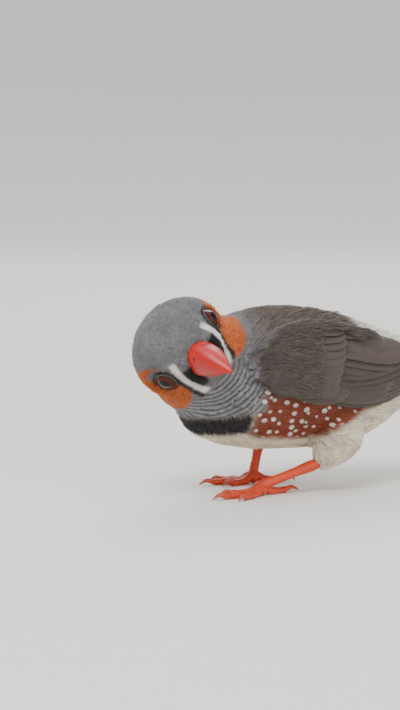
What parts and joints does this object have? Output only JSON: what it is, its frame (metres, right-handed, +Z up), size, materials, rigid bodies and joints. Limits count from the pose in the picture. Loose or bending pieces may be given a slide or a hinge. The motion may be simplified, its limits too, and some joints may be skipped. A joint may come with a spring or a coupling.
{
  "type": "zebra finch",
  "caption": "Life-size still model of a male zebra finch standing low, head turned and tipped to its left, wings folded.",
  "frame": {"origin": "under the middle of the bird's box, on the floor", "axes": "+Z up; the bird's body faces -X and its left side is -Y"},
  "size_m": [0.0986, 0.0352, 0.0395],
  "materials": {
    "plumage": "soft matt body feathers",
    "wing_feathers": "matt flight feathers",
    "tail_feathers": "matt black feathers with white-barred coverts",
    "bill": "waxy orange-red horn",
    "leg_skin": "orange scaled skin",
    "eye": "wet gloss, red-brown iris"
  },
  "bodies": {
    "root": {"torso": "plumage", "neck": "plumage", "head": "plumage", "bill_upper": "bill", "bill_lower": "bill", "eye_left": "eye", "eye_right": "eye", "wing_left": "wing_feathers", "wing_right": "wing_feathers", "tail": "tail_feathers", "thigh_left": "plumage", "thigh_right": "plumage", "tarsus_left": "leg_skin", "tarsus_right": "leg_skin", "foot_left": "leg_skin", "foot_right": "leg_skin"}
  },
  "joints": []
}
